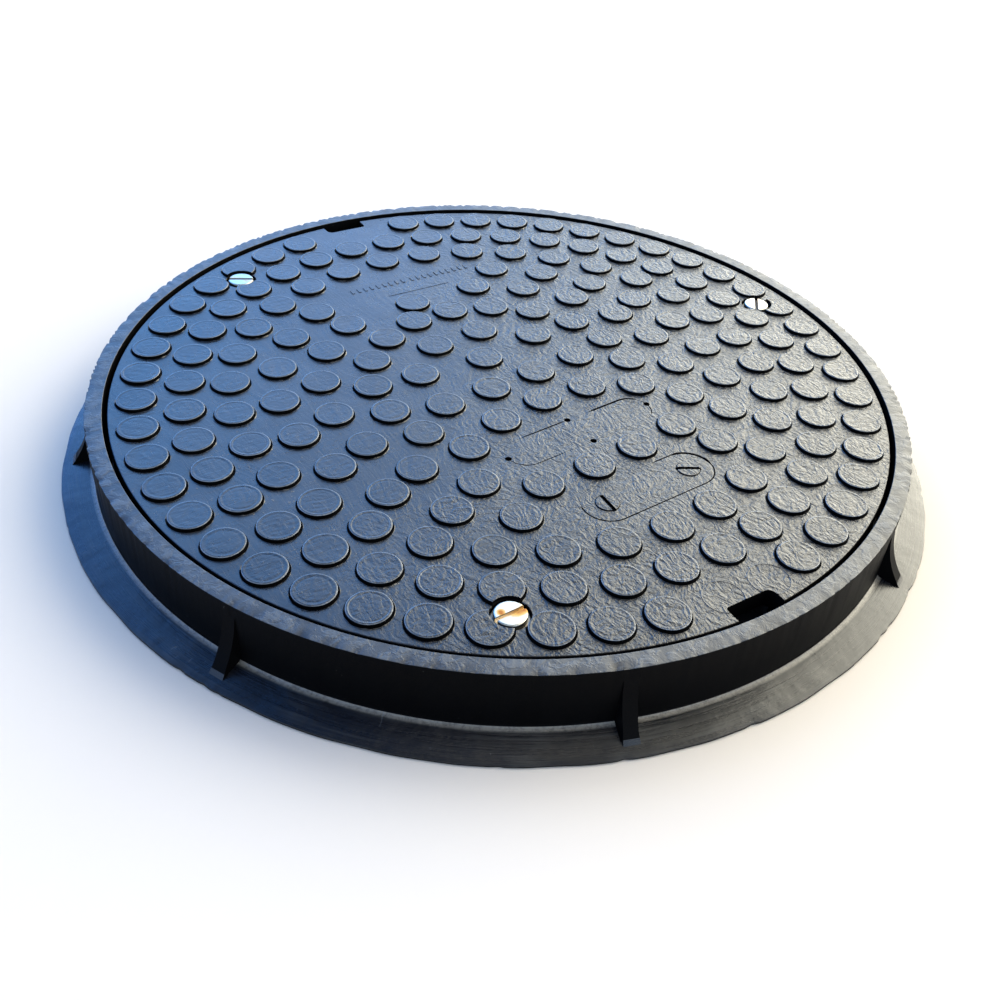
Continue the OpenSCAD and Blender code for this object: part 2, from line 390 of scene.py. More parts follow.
class Nodes:
    """A node tree and its coordinates, with short ways to add what the finishes and the light dome share."""

    def __init__(self, tree, coordinates):
        self.tree = tree
        coords = tree.nodes.new("ShaderNodeTexCoord")
        self.place = coords.outputs[coordinates]

    def feed(self, node, socket, value):
        """Links a socket, or sets a constant."""
        if isinstance(value, bpy.types.NodeSocket):
            self.tree.links.new(value, node.inputs[socket])
        else:
            node.inputs[socket].default_value = value

    def math(self, operation, a, b=0.0, c=0.0):
        """Result of one arithmetic node."""
        node = self.tree.nodes.new("ShaderNodeMath")
        node.operation = operation
        for socket, value in enumerate((a, b, c)):
            self.feed(node, socket, value)
        return node.outputs[0]

    def smooth(self, value, low, high, to_low=0.0, to_high=1.0):
        """Smooth step from low to high."""
        node = self.tree.nodes.new("ShaderNodeMapRange")
        node.interpolation_type = "SMOOTHSTEP"
        for socket, number in zip((0, 1, 2, 3, 4), (value, low, high, to_low, to_high)):
            self.feed(node, socket, number)
        return node.outputs[0]

    def stretch(self, scale, turn=0.0, vector=None):
        """Coordinates scaled by axis, in cycles a metre, after a turn about Z in degrees."""
        node = self.tree.nodes.new("ShaderNodeMapping")
        node.vector_type = "POINT"
        node.inputs["Rotation"].default_value = (0.0, 0.0, math.radians(turn))
        node.inputs["Scale"].default_value = scale
        self.tree.links.new(vector or self.place, node.inputs["Vector"])
        return node.outputs[0]

    def warp(self, scale, reach):
        """Coordinates pushed about by a soft noise, up to reach metres."""
        noise = self.tree.nodes.new("ShaderNodeTexNoise")
        noise.inputs["Scale"].default_value = scale
        self.tree.links.new(self.place, noise.inputs["Vector"])
        push = self.tree.nodes.new("ShaderNodeVectorMath")
        push.operation = "MULTIPLY_ADD"
        self.tree.links.new(noise.outputs["Color"], push.inputs[0])
        push.inputs[1].default_value = (reach, reach, reach)
        self.tree.links.new(self.place, push.inputs[2])
        return push.outputs[0]

    def noise(self, scale, detail=2.0, rough=0.5, bend=0.0, vector=None):
        """Noise from 0 to 1, with scale in cycles a metre."""
        node = self.tree.nodes.new("ShaderNodeTexNoise")
        node.inputs["Scale"].default_value = scale
        node.inputs["Detail"].default_value = detail
        node.inputs["Roughness"].default_value = rough
        node.inputs["Distortion"].default_value = bend
        self.tree.links.new(vector or self.place, node.inputs["Vector"])
        return node.outputs["Fac"]

    def split(self, vector=None):
        """X, Y and Z of a vector."""
        node = self.tree.nodes.new("ShaderNodeSeparateXYZ")
        self.tree.links.new(vector or self.place, node.inputs[0])
        return node.outputs

    def pack(self, x, y, z):
        """Vector of three values."""
        node = self.tree.nodes.new("ShaderNodeCombineXYZ")
        for socket, value in enumerate((x, y, z)):
            self.feed(node, socket, value)
        return node.outputs[0]

    def up(self):
        """How far the true surface faces upward, from -1 to 1."""
        geometry = self.tree.nodes.new("ShaderNodeNewGeometry")
        return self.split(geometry.outputs["Normal"])[2]

    def mix(self, amount, a, b):
        """Colour between a and b."""
        node = self.tree.nodes.new("ShaderNodeMix")
        node.data_type = "RGBA"
        for socket, value in zip((0, 6, 7), (amount, a, b)):
            if isinstance(value, tuple):
                value = (*value, 1.0)
            self.feed(node, socket, value)
        return node.outputs[2]

    def polar(self):
        """Coordinates that run round the Z axis: arc length at the ring, radius, height."""
        x, y, z = self.split()
        turn = self.math("ARCTAN2", y, x)
        along = self.math("MULTIPLY", turn, RING_OUT * MM)
        squares = self.math("ADD", self.math("MULTIPLY", x, x), self.math("MULTIPLY", y, y))
        return self.pack(along, self.math("SQRT", squares), z)


class Shader(Nodes):
    """A new material with a Principled BSDF."""

    def __init__(self, name):
        self.material = bpy.data.materials.new(name)
        self.material.use_nodes = True
        super().__init__(self.material.node_tree, "Object")
        self.bsdf = self.tree.nodes["Principled BSDF"]

    def set(self, **values):
        """Sets uniform values on the shader's own sockets."""
        for key, value in values.items():
            self.bsdf.inputs[key.replace("_", " ")].default_value = value

    def drive(self, **values):
        """Links computed values into the shader's own sockets."""
        for key, value in values.items():
            self.tree.links.new(value, self.bsdf.inputs[key.replace("_", " ")])

    def bump(self, layers):
        """Relief from (height socket, depth in metres) layers, one on another."""
        normal = None
        for height, depth in layers:
            node = self.tree.nodes.new("ShaderNodeBump")
            node.inputs["Strength"].default_value = 1.0
            node.inputs["Distance"].default_value = depth
            self.feed(node, "Height", height)
            if normal:
                self.feed(node, "Normal", normal)
            normal = node.outputs[0]
        self.tree.links.new(normal, self.bsdf.inputs["Normal"])


def lid_polymer():
    """Black moulded polymer of the lid: crinkled skin, flow marks, scuffed studs whose rims are lighter
    partly from wear and partly as a painted highlight, a little grey dust.
    """
    s = Shader("lid_polymer")
    x, y, z = s.split()
    patches = s.noise(9.0, 3.0, 0.55, 0.6)
    side = s.math("ADD", s.math("MULTIPLY", x, 0.85), s.math("MULTIPLY", y, -0.53))
    place = s.math("ADD", side, s.math("MULTIPLY", patches, 0.25))
    crinkled = s.smooth(place, -0.02, 0.20)
    # Skin: crinkled on one side of the lid, nearly smooth on the other
    curl = s.warp(26.0, 0.035)
    curls = s.noise(1.0, 1.0, 0.45, 0.5, s.stretch((300.0, 150.0, 150.0), 25.0, curl))
    wrinkles = s.noise(270.0, 2.0, 0.55, 0.8)
    pits = s.smooth(s.noise(380.0, 1.5, 0.5, 0.8), 0.44, 0.34)
    pits = s.math("MULTIPLY", pits, crinkled)
    grain = s.noise(1500.0, 2.0, 0.6)
    # Flow of the melt, scuffs and scratches
    brushed = s.noise(1.0, 2.0, 0.6, 0.3, s.stretch((60.0, 520.0, 200.0), -VIEW_TURN, s.warp(18.0, 0.01)))
    flow = s.noise(1.0, 3.0, 0.55, 0.6, s.stretch((240.0, 30.0, 60.0), -32.0, s.warp(6.0, 0.12)))
    scratch = s.noise(1.0, 2.0, 0.5, 0.4, s.stretch((60.0, 1400.0, 200.0), 25.0))
    scratch_b = s.noise(1.0, 2.0, 0.5, 0.4, s.stretch((1200.0, 50.0, 200.0), -20.0))
    marks = s.math("ADD", s.smooth(scratch, 0.62, 0.7), s.smooth(scratch_b, 0.64, 0.72))
    # Rims of the studs, lighter partly from wear and partly as a painted highlight, and dust on the field
    # between them
    high = s.smooth(z, (STUD_TOP - 1.4) * MM, (STUD_TOP - 0.3) * MM)
    rim = s.math("MULTIPLY", high, s.smooth(s.up(), 0.993, 0.965))
    specks = s.smooth(s.noise(300.0, 3.0, 0.7), 0.62, 0.72)
    specks = s.math("MULTIPLY", specks, s.smooth(place, -0.16, 0.0))
    low = s.smooth(z, (FIELD + 1.2) * MM, (FIELD + 0.1) * MM)
    dust = s.math("MULTIPLY", s.math("MULTIPLY", specks, low), s.smooth(patches, 0.45, 0.65))

    colour = s.mix(s.smooth(patches, 0.3, 0.7), *LID_SKIN)
    colour = s.mix(s.math("MULTIPLY", marks, 0.10), colour, SCRATCHED)
    rim_wear_and_highlight = s.smooth(s.noise(55.0, 2.0, 0.5), 0.35, 0.6, 0.22, 0.55)
    colour = s.mix(s.math("MULTIPLY", rim, rim_wear_and_highlight), colour, RIM_WEAR_AND_HIGHLIGHT)
    colour = s.mix(s.math("MULTIPLY", dust, 0.5), colour, DUST)
    s.drive(Base_Color=colour)

    rough = s.math("MULTIPLY_ADD", s.noise(40.0, 4.0, 0.6), 0.16, 0.20)
    rough = s.math("ADD", rough, s.math("MULTIPLY", marks, 0.06))
    rough = s.math("ADD", rough, s.math("MULTIPLY", dust, 0.3))
    rough = s.math("ADD", rough, s.math("MULTIPLY", pits, 0.18))
    s.drive(Roughness=rough)
    s.set(IOR=1.5, Specular_IOR_Level=0.5)
    skin = s.math("MULTIPLY_ADD", curls, 0.7, s.math("MULTIPLY", wrinkles, 0.5))
    skin = s.math("ADD", skin, s.math("MULTIPLY", pits, -0.10))
    skin = s.math("MULTIPLY", skin, s.math("MULTIPLY_ADD", crinkled, 0.88, 0.12))
    s.bump([
        (s.noise(14.0, 2.0, 0.5), 0.0016),
        (flow, 0.00026),
        (skin, 0.0011),
        (s.math("MULTIPLY", brushed, high), 0.00020),
        (marks, -0.00004),
        (specks, 0.00012),
        (grain, 0.00005),
    ])
    return s.material


def shaded_side_or_underside(name, dark, light, gloss):
    """Upright or hidden faces, dull and streaked. Dark and light are its two greys: near black for the
    upright sides and channels, where it is painted shade, lighter for the undersides.
    """
    s = Shader(name)
    streaks = s.noise(1.0, 3.0, 0.6, 0.2, s.stretch((90.0, 90.0, 12.0), 0.0, s.polar()))
    colour = s.mix(streaks, (dark, dark, dark * 1.2), (light, light, light * 1.2))
    specks = s.smooth(s.noise(330.0, 2.0, 0.6), 0.76, 0.8)
    colour = s.mix(s.math("MULTIPLY", specks, 0.2), colour, (0.2, 0.19, 0.17))
    s.drive(Base_Color=colour)
    rough = s.math("MULTIPLY_ADD", streaks, 0.2, 0.4)
    s.drive(Roughness=rough)
    s.set(IOR=1.45, Specular_IOR_Level=gloss)
    s.bump([(streaks, 0.00015), (s.noise(900.0, 3.0, 0.6), 0.00006)])
    return s.material


def ring_polymer():
    """Top of the frame's ring: worn by the lid and the mould, with ripples across it."""
    s = Shader("ring_polymer")
    polar_place = s.polar()
    ripples = s.noise(1.0, 3.0, 0.6, 0.8, s.stretch((110.0, 80.0, 10.0), 0.0, polar_place))
    bands = s.noise(1.0, 2.0, 0.5, 0.6, s.stretch((55.0, 20.0, 4.0), 0.0, polar_place))
    scuffs = s.smooth(s.noise(105.0, 4.0, 0.65, 0.4), 0.45, 0.62)
    colour = s.mix(s.smooth(bands, 0.35, 0.65), *RING_SKIN)
    colour = s.mix(s.math("MULTIPLY", scuffs, 0.22), colour, SCUFFED)
    s.drive(Base_Color=colour)
    rough = s.math("MULTIPLY_ADD", ripples, 0.25, 0.33)
    s.drive(Roughness=rough)
    s.set(IOR=1.5, Specular_IOR_Level=0.6)
    s.bump([(bands, 0.0008), (ripples, 0.0004), (scuffs, 0.00016), (s.noise(600.0, 3.0, 0.6), 0.00012)])
    return s.material


def flange_polymer():
    """Upper face of the flange: brushed in rings, grainy, dull, with a painted highlight along the foot of
    the wall.
    """
    s = Shader("flange_polymer")
    polar_place = s.polar()
    rings = s.noise(1.0, 4.0, 0.65, 0.3, s.stretch((12.0, 380.0, 30.0), 0.0, polar_place))
    patches = s.noise(20.0, 3.0, 0.55, 0.3)
    grit = s.noise(420.0, 4.0, 0.65, 0.4)
    scratch = s.noise(1.0, 2.0, 0.5, 0.8, s.stretch((420.0, 60.0, 30.0), 0.0, polar_place))
    scratch = s.smooth(scratch, 0.72, 0.78)
    dust = s.smooth(s.math("ADD", rings, patches), 1.0, 1.3)
    radius = s.split(polar_place)[1]
    # Light band along the fillet at the wall's foot: a painted highlight, broken up by the grit
    corner = s.smooth(radius, (RING_OUT + 4.6) * MM, (RING_OUT + 2.6) * MM)
    corner = s.math("MULTIPLY", corner, s.smooth(grit, 0.3, 0.6, 0.35, 0.75))
    colour = s.mix(patches, *FLANGE_SKIN)
    colour = s.mix(s.math("MULTIPLY", dust, 0.3), colour, FLANGE_DUST)
    colour = s.mix(corner, colour, FILLET_HIGHLIGHT)
    colour = s.mix(s.math("MULTIPLY", scratch, 0.35), colour, FLANGE_SCRATCH)
    s.drive(Base_Color=colour)
    rough = s.math("MULTIPLY_ADD", rings, 0.25, 0.16)
    s.drive(Roughness=rough)
    s.set(IOR=1.5, Specular_IOR_Level=0.45)
    s.bump([(patches, 0.0016), (rings, 0.00030), (scratch, -0.0001), (grit, 0.00018)])
    return s.material


def seal_rubber():
    """Matt black rubber with fine talc marks."""
    s = Shader("seal_rubber")
    marks = s.noise(1.0, 4.0, 0.6, 0.3, s.stretch((60.0, 500.0, 300.0), 0.0, s.polar()))
    colour = s.mix(s.smooth(marks, 0.45, 0.75), *RUBBER)
    s.drive(Base_Color=colour)
    s.drive(Roughness=s.math("MULTIPLY_ADD", marks, 0.2, 0.6))
    s.set(IOR=1.5, Specular_IOR_Level=0.35)
    s.bump([(marks, 0.00008)])
    return s.material


def zinc_plate(name):
    """Dulled zinc plate of the washers and nuts."""
    s = Shader(name)
    grain = s.noise(900.0, 3.0, 0.6)
    crystals = s.noise(240.0, 2.0, 0.5, 0.6)
    stain = s.smooth(s.noise(420.0, 4.0, 0.7), 0.5, 0.65)
    colour = s.mix(crystals, *DULL_ZINC)
    colour = s.mix(s.math("MULTIPLY", stain, 0.25), colour, ZINC_STAIN)
    s.drive(Base_Color=colour)
    s.drive(Roughness=s.math("MULTIPLY_ADD", grain, 0.14, 0.34))
    s.set(Metallic=1.0)
    s.bump([(crystals, 0.00006), (grain, 0.00002)])
    return s.material


def zinc_head(name, slot_turn, rust_level):
    """Bright zinc plate of a lock screw. Its slot is dirty, and rust has crept out of it over the head."""
    s = Shader(name)
    grain = s.noise(900.0, 3.0, 0.6)
    crystals = s.noise(240.0, 2.0, 0.5, 0.6)
    along, across, z = s.split(s.stretch((1.0, 1.0, 1.0), -slot_turn))

    def around(x, y, reach):
        """Soft round patch about a point on the head."""
        dx = s.math("ADD", along, -x)
        dy = s.math("ADD", across, -y)
        squares = s.math("ADD", s.math("MULTIPLY", dx, dx), s.math("MULTIPLY", dy, dy))
        return s.smooth(s.math("SQRT", squares), reach, reach * 0.1)

    sunk = s.smooth(z, (HEAD_TOP - 0.1) * MM, (HEAD_TOP - 0.4) * MM)
    half_slot = SLOT_W / 2 * MM
    sunk = s.math("MULTIPLY", sunk, s.smooth(s.math("ABSOLUTE", across), half_slot + 0.0004, half_slot))
    lip = s.smooth(z, (HEAD_TOP - 1.3) * MM, (HEAD_TOP - 0.9) * MM)
    streak = s.smooth(s.math("ABSOLUTE", s.math("ADD", across, 0.0020)), 0.0052, 0.0004)
    streak = s.math("MULTIPLY", streak, s.smooth(along, -0.007, 0.007))
    rust = s.math("MAXIMUM", s.math("MULTIPLY", streak, 0.85), around(-0.0050, 0.0034, 0.0044))
    rust = s.math("MAXIMUM", rust, around(0.0092, -0.0010, 0.0046))
    rust = s.math("ADD", rust, s.math("MULTIPLY_ADD", s.noise(380.0, 4.0, 0.7), 0.7, -0.35))
    yellow = s.math("MULTIPLY", s.smooth(rust, 0.0, 0.6), rust_level)
    brown = s.math("MULTIPLY", s.smooth(rust, 0.5, 1.0), rust_level)

    colour = s.mix(crystals, *BRIGHT_ZINC)
    colour = s.mix(yellow, colour, RUST_YELLOW)
    colour = s.mix(brown, colour, RUST_BROWN)
    inside = s.mix(s.smooth(along, -0.006, 0.006), *RUSTY_SLOT)
    inside = s.mix(rust_level, CLEAN_SLOT, inside)
    inside = s.mix(lip, inside, SLOT_LIP)
    colour = s.mix(s.math("MULTIPLY", sunk, 0.9), colour, inside)
    s.drive(Base_Color=colour)
    dull = s.math("MAXIMUM", s.math("MAXIMUM", yellow, brown), sunk)
    s.drive(Metallic=s.math("SUBTRACT", 1.0, dull))
    rough = s.math("MULTIPLY_ADD", dull, 0.3, s.math("MULTIPLY_ADD", grain, 0.14, 0.24))
    s.drive(Roughness=rough)
    s.set(Specular_IOR_Level=0.1)
    s.bump([(crystals, 0.00006), (grain, 0.00002)])
    return s.material


# ---------------------------------------------------------------- pieces

def frame_mesh():
    """Ring, flange and seat, with gussets outside and lugs inside. The rims are a little ragged."""
    segments = 720
    edge = 0.5
    fillet = 3.0
    section = [(OPENING, 0.8), (OPENING + 0.8, 0.0), (FLANGE - 0.8, 0.0), (FLANGE, 0.8)]
    section += [(FLANGE, FLANGE_EDGE_H - 0.9), (FLANGE - 0.3, FLANGE_EDGE_H - 0.3)]
    section.append((FLANGE - 1.0, FLANGE_EDGE_H))
    slope = (FLANGE_ROOT_H - FLANGE_EDGE_H) / (FLANGE - RING_OUT - fillet)
    for k in (6.0, 12.0, 18.0):
        section.append((FLANGE - k, FLANGE_EDGE_H + slope * k))
    section += arc(RING_OUT + fillet, FLANGE_ROOT_H + fillet, fillet, 270, 180, 5)
    section += [(RING_OUT, 20.0), (RING_OUT, 34.0)]
    section += arc(RING_OUT - edge, RING_TOP - edge, edge, 0, 90, 5)
    section += [(RING_IN + 8.0, RING_TOP), (RING_IN + 4.0, RING_TOP - 0.1)]
    section += arc(RING_IN + edge, RING_TOP - edge, edge, 90, 180, 5)
    section += [(RING_IN, SEAT_Z + 1.0), (RING_IN - 1.0, SEAT_Z)]
    section += [(OPENING + 1.0, SEAT_Z), (OPENING, SEAT_Z - 1.0)]
    mesh = revolve("frame_body", section, segments, closed=True)
    roughen_rims(mesh, segments)
    mesh = boolean(mesh, joined("fins", gusset_fins()), "UNION")
    return with_lugs(mesh)


def roughen_rims(mesh, segments):
    """Nicks the ring's outer edge and makes the flange's edge wavy and chipped."""
    full_turn = 2 * math.pi
    waves_a_turn = (3, 5, 8, 13, 21, 34, 55)
    rng = random.Random(7)
    waves = [(rng.uniform(0, full_turn), rng.choice(waves_a_turn), rng.uniform(0.05, 0.22))
             for _ in range(9)]
    nicks = [0.08 + 0.95 * rng.random() ** 3 for _ in range(segments)]
    chips = [(rng.uniform(-math.pi, math.pi), rng.uniform(0.004, 0.02), rng.uniform(0.5, 1.6))
             for _ in range(26)]
    for v in mesh.vertices:
        r = math.hypot(v.co.x, v.co.y)
        a = math.atan2(v.co.y, v.co.x)
        if r > (RING_OUT - 0.6) * MM and v.co.z > (RING_TOP - 0.6) * MM:
            nick = nicks[round(a / full_turn * segments) % segments]
            v.co.x *= 1 - nick / RING_OUT
            v.co.y *= 1 - nick / RING_OUT
            v.co.z -= 1.4 * nick * MM
        if r < (FLANGE - 3.0) * MM:
            continue
        dent = sum(size * (1 + math.sin(count * a + phase)) for phase, count, size in waves)
        for place, width, depth in chips:
            off = abs((a - place + math.pi) % full_turn - math.pi)
            if off < width:
                dent += depth * (1 - off / width)
        kept = (r - dent * MM) / r
        v.co.x *= kept
        v.co.y *= kept
    mesh.update()


def gusset_fins():
    """The gussets: upright fins with a hollow slope, wider at the foot, sunk into ring and flange."""
    steps = 10
    sag = 4.0
    inside = RING_OUT - 1.0
    foot_z = FLANGE_EDGE_H + GUSSET_FOOT_H
    drop = GUSSET_TOP - FLANGE_EDGE_H
    slant = math.hypot(drop, GUSSET_FOOT)
    outline = [(inside, GUSSET_BOTTOM), (RING_OUT + GUSSET_FOOT, GUSSET_BOTTOM)]
    outline.append((RING_OUT + GUSSET_FOOT, foot_z))
    for i in range(1, steps):
        t = i / steps
        bow = 4 * sag * t * (1 - t)
        x = RING_OUT + GUSSET_FOOT * (1 - t) - bow * drop / slant
        z = foot_z + (drop - GUSSET_FOOT_H) * t - bow * GUSSET_FOOT / slant
        outline.append((max(x, inside), z))
    outline.append((inside, GUSSET_TOP))
    fins = []
    for i in range(GUSSETS):
        fin = prism("fin", outline, -GUSSET_T / 2, GUSSET_T / 2)
        fin.transform(Matrix.Rotation(math.radians(90), 4, "X"))
        for v in fin.vertices:
            v.co.y *= 1 + max(0.0, 0.022 * (11 - v.co.z / MM))
        fins.append(placed(fin, GUSSET_TURN + 360 * i / GUSSETS))
    return fins


def with_lugs(mesh):
    """The frame with its three lugs, each with a screw hole from above and a nut pocket from below."""
    lug = [(0, 0), (LUG_R, 0), (LUG_R, LUG_H - 1.5), (LUG_R - 1.5, LUG_H), (0, LUG_H)]
    hole = [(0, -1), (SHANK_HOLE, -1), (SHANK_HOLE, LUG_H - 0.6), (SHANK_HOLE + 1.6, LUG_H + 1)]
    hole.append((0, LUG_H + 1))
    pocket = [(0, -1), (NUT_R, -1), (NUT_R, NUT_TOP), (0, NUT_TOP)]
    limit = revolve("limit", [(0, -1), (LUG_REACH, -1), (LUG_REACH, LUG_H + 1), (0, LUG_H + 1)], 360)
    lugs = joined("lugs", [placed(revolve("lug", lug, 64), 0, at) for _, at in lock_places()])
    mesh = boolean(mesh, boolean(lugs, limit, "INTERSECT"), "UNION")
    for turn, at in lock_places():
        mesh = boolean(mesh, placed(revolve("hole", hole, 48), 0, at), "DIFFERENCE")
        mesh = boolean(mesh, placed(revolve("pocket", pocket, 6), turn, at), "DIFFERENCE")
    return mesh


def stud_mesh(rng):
    """One tread stud, a little uneven: channel and flash at its foot, worn rim, a ring turned in its top."""
    segments = 64
    buried = 1.2
    worn = 0.35
    r = STUD_R + rng.uniform(-0.15, 0.15)
    h = STUD_H - rng.uniform(0.12, 0.25)
    dish = rng.uniform(0.02, 0.12)
    groove = rng.choice((0.02, 0.05, 0.09, 0.14))
    groove_r = rng.uniform(11.2, 12.6)
    flash = rng.uniform(0.20, 0.50)
    section = [(0, -buried), (r + STUD_BASE, -buried), (r + STUD_BASE, -0.04), (r + 1.3, flash)]
    section += [(r + 0.75, -0.3), (r + 0.2, -0.6), (r, -0.35), (r, h - 0.6)]
    section += arc(r - worn, h - 0.5, worn, 8, 76, 3)
    section += [(r - 1.05, h), (r - 1.4, h - 0.03), (r - 1.8, h - 0.08)]
    flat = h - 0.1
    top_r = r - 2.3
    while top_r > 0.9:
        dip = groove * math.exp(-((top_r - groove_r) / 0.6) ** 2)
        section.append((top_r, flat - dip - dish * (1 - (top_r / r) ** 2)))
        top_r -= 0.7
    section.append((0, flat - dish))
    mesh = revolve("stud", section, segments)

    lean_x, lean_y = [rng.uniform(-1, 1) * 0.08 / STUD_R for _ in range(2)]
    full_turn = 2 * math.pi
    waves = [(rng.uniform(0.5, 1.6), rng.uniform(0, full_turn), rng.uniform(0, full_turn))
             for _ in range(6)]
    for v in mesh.vertices:
        x = v.co.x / MM
        y = v.co.y / MM
        z = v.co.z / MM
        swell = sum(math.sin(k * (x * math.cos(t) + y * math.sin(t)) + phase) for k, t, phase in waves)
        if 0.1 < z < 0.6:
            # The flash comes and goes round the foot
            v.co.z *= max(0.05, 0.45 + 0.35 * swell)
        elif z > STUD_H / 2:
            inside = max(0.0, 1 - (math.hypot(x, y) / r) ** 6)
            v.co.z += (lean_x * x + lean_y * y + swell * 0.014 * inside - 0.05) * MM
    return placed(mesh, rng.uniform(0, 360))


def pocket_cutters():
    """Space of one lifting pocket, on the +Y side: the notch with rounded inner corners, and the undercut."""
    w = POCKET_W / 2
    left_r = 5.5
    right_r = 2.5
    notch = [(-w - 0.2, LID + 3)] + arc(-w + left_r, SKIRT_IN + left_r, left_r, 180, 270, 6)
    notch += arc(w - right_r, SKIRT_IN + right_r, right_r, 270, 360, 5) + [(w + 0.2, LID + 3)]
    undercut = rectangle(-w + 0.6, SKIRT_IN - UNDERCUT, w - 0.6, SKIRT_IN + 4)
    return [
        prism("notch", notch, POCKET_FLOOR, STUD_TOP + 2),
        prism("flare", notch, FIELD - 0.9, FIELD + 1.1, inset=-1.4),
        prism("undercut", undercut, POCKET_FLOOR, PLATE_Z - 2),
    ]


def groove_radius(x, y, stretches):
    """Half width of an insert's joint groove at a point: thin, but open inside the stretches."""
    here = [half for x0, x1, y0, y1, half in stretches if x0 <= x <= x1 and y0 <= y <= y1]
    return max(here, default=GROOVE_THIN)


def on_field(mesh, mark, x=0.0, y=0.0, turn=0.0):
    """Moves a mesh to a place in an insert's mark, on the field."""
    inside = placed(mesh, turn, (x, y, 0))
    return placed(inside, mark["turn"], (*mark["at"], FIELD))


def with_ribs(mesh):
    """The lid's body with rings of ribs and radial ribs under its plate, each with chamfered lower edges."""
    chamfer = 0.8
    into_plate = PLATE_Z + 1
    for r in RIB_RINGS:
        band = [(r, RIB_Z + chamfer), (r, into_plate), (r - RIB_T, into_plate), (r - RIB_T, RIB_Z + chamfer),
                (r - RIB_T + chamfer, RIB_Z), (r - chamfer, RIB_Z)]
        mesh = boolean(mesh, revolve("band", band, 180, closed=True), "UNION")
    half = [(-RIB_T / 2, into_plate), (-RIB_T / 2, RIB_Z + chamfer), (-RIB_T / 2 + chamfer, RIB_Z)]
    across = half + [(-x, z) for x, z in reversed(half)]
    ribs = []
    for i in range(RIBS):
        start = RIB_RINGS[i % 2] - 1.0
        rib = prism("rib", across, start, SKIRT_IN + 1)
        rib.transform(Matrix(((0, 0, 1, 0), (1, 0, 0, 0), (0, 1, 0, 0), (0, 0, 0, 1))))
        ribs.append(placed(rib, (i + 0.5) * 360 / RIBS))
    return boolean(mesh, joined("ribs", ribs), "UNION")


def stud_places():
    """Plan points of all the studs."""
    places = [polar(r, first + 360.0 * i / count)
              for r, count, first, gaps in STUD_RINGS for i in range(count) if i not in gaps]
    return places + [polar(r, turn) for r, turn in ODD_STUDS]


def plain_marks():
    """Ticks and a rule, raised a little above the field."""
    width, depth, height = TICK_SIZE
    marks = []
    for start, count in TICKS:
        for i in range(count):
            x = start + i * TICK_PITCH
            outline = rectangle(x, TICK_Y - depth / 2, x + width, TICK_Y + depth / 2)
            marks.append(prism("tick", outline, FIELD - 1, FIELD + height, MARK_DRAFT))
    x, y = RULE_AT
    width, depth, height = RULE_SIZE
    outline = rectangle(x - width / 2, y - depth / 2, x + width / 2, y + depth / 2)
    marks.append(prism("rule", outline, FIELD - 1, FIELD + height, MARK_DRAFT))
    return joined("marks", marks)


def insert_cuts():
    """Joint grooves of the two insert marks, and the pin holes on the first one's joint."""
    cuts = []
    for mark in (PINNED, SCREWED):
        path = stadium(mark["length"] - 2 * GROOVE_INSET, mark["width"] - 2 * GROOVE_INSET)
        radii = [groove_radius(x, y, mark["grooves"]) for x, y in path]
        cuts.append(on_field(tube("groove", path, radii, GROOVE_DEEP), mark))
    end = PINNED["length"] / 2 - GROOVE_INSET
    side = PINNED["width"] / 2 - GROOVE_INSET
    hole = [(0, -3), (2.2, -3), (2.7, 1), (0, 1)]
    pins = [placed(revolve("pin", hole, 24), 0, (x, y, 0))
            for x, y in ((end, 0), (-end, 0), (0, side), (0, -side))]
    cuts.append(on_field(joined("pins", pins), PINNED))
    return cuts


